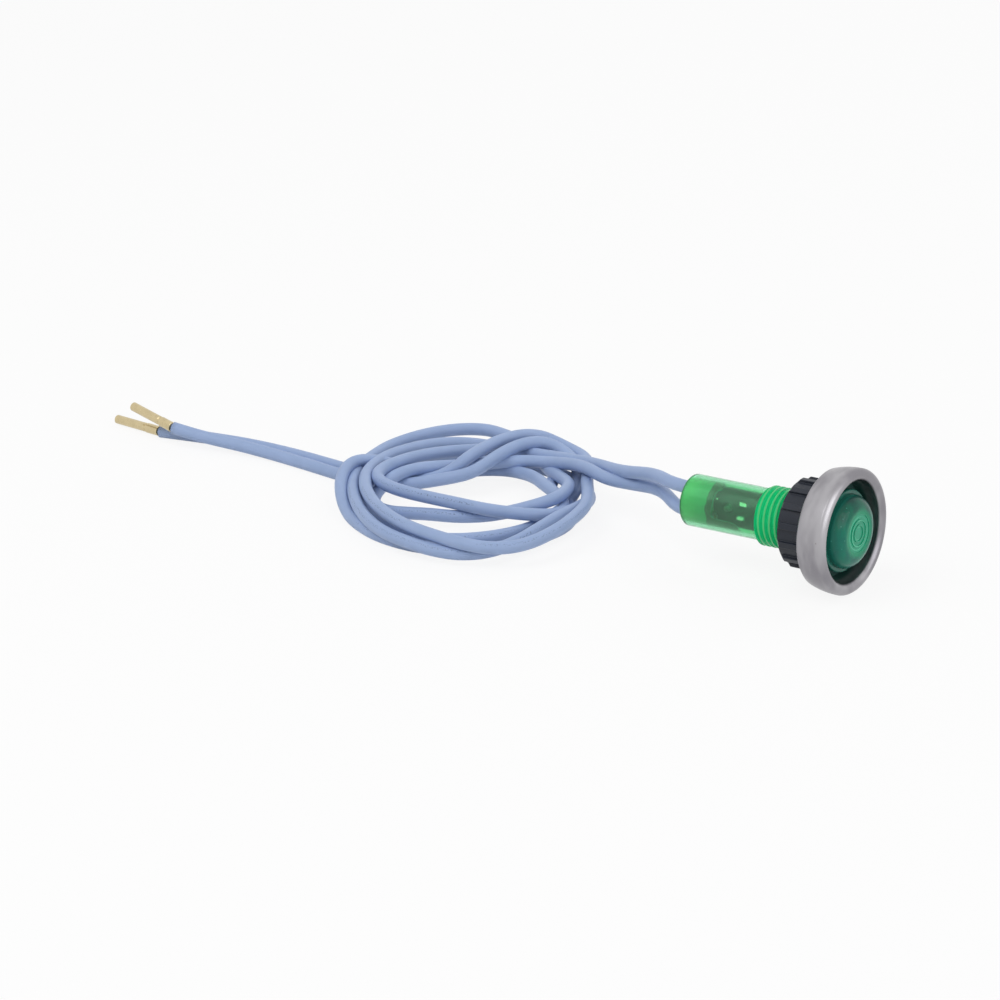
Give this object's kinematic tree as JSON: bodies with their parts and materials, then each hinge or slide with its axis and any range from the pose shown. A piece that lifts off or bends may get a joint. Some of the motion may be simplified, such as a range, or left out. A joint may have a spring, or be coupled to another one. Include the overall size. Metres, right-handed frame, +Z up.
{
  "type": "panel pilot light",
  "caption": "Panel pilot light with a domed green lens in a rolled metal bezel, a threaded translucent barrel, a ribbed nut and two coiled leads with crimped pins.",
  "frame": {"origin": "centre of the barrel's axis in the plane where the bezel's rear rim meets the panel", "axes": "+X along the barrel towards the lens, +Z up; the surface that bezel and coil lie on is z = -12.5 mm"},
  "size_m": [0.1877, 0.0654, 0.025],
  "materials": {
    "bezel_metal": "satin",
    "green_housing": "gloss",
    "green_lens": "gloss",
    "black_plastic": "satin",
    "green_potting": "satin",
    "board": "matte",
    "clear_glass": "gloss",
    "nickel": "satin",
    "resistor_body": "satin",
    "solder": "gloss",
    "copper": "satin",
    "blue_silicone": "satin",
    "pin_brass": "satin"
  },
  "bodies": {
    "lamp": {"bezel": "bezel_metal", "housing": "green_housing", "lens": "green_lens", "potting": "green_potting", "circuit_board": "board", "glow_envelope": "clear_glass", "electrode_upper": "nickel", "electrode_lower": "nickel", "lamp_lead_upper": "nickel", "lamp_lead_lower": "nickel", "resistor": "resistor_body", "resistor_leads": "nickel", "solder_joints": "solder", "conductor_upper": "copper", "conductor_lower": "copper", "lead_lamp_upper": "blue_silicone", "lead_lamp_lower": "blue_silicone", "lead_coil": "blue_silicone", "lead_tail_front": "blue_silicone", "lead_tail_back": "blue_silicone", "pin_front": "pin_brass", "pin_back": "pin_brass"},
    "washer": {"nut_washer": "black_plastic"},
    "nut": {"nut": "black_plastic"}
  },
  "joints": [
    {"name": "nut_travel", "type": "slide", "parent": "lamp", "child": "washer", "axis": [-1, 0, 0], "range_m": [0, 0.01]},
    {"name": "nut_turn", "type": "hinge", "parent": "washer", "child": "nut", "pos_m": [-0.0031, 0, 0], "axis": [-1, 0, 0], "range_deg": [0, 2881]}
  ],
  "couplings": [
    {"joint": "nut_turn", "follows": "nut_travel", "rad_per_m": 5026.5}
  ]
}
